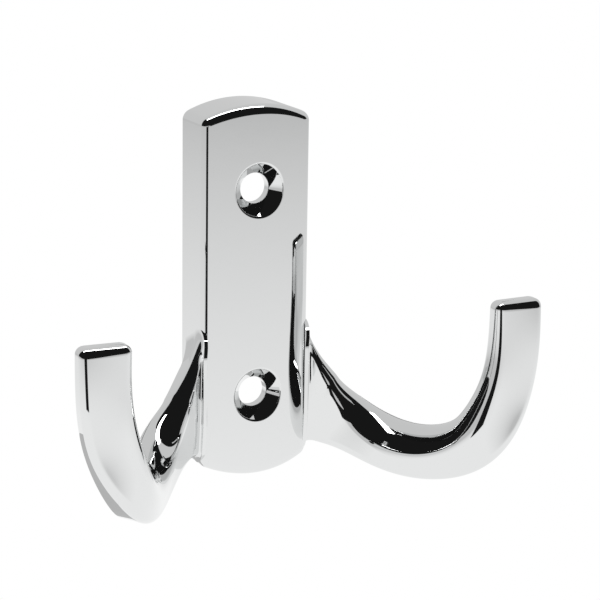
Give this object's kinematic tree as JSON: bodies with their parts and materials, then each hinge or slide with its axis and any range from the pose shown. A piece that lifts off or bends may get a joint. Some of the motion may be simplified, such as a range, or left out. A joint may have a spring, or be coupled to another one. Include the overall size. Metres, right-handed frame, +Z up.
{
  "type": "double robe hook",
  "caption": "Double robe hook cast in one piece: a narrow upright crowned plate with countersunk screw holes and a pair of J-shaped arms that sweep out and forward from its foot.",
  "frame": {"origin": "on the wall plane at the back of the plate, midway between the two screw holes", "axes": "+X to the viewer's right as the hook hangs, +Y into the wall, +Z up"},
  "size_m": [0.0744, 0.0314, 0.058],
  "materials": {
    "chrome_casting": "polished, bright chrome plate over a smooth zinc casting"
  },
  "bodies": {
    "root": {"double_hook": "chrome_casting"}
  },
  "joints": []
}
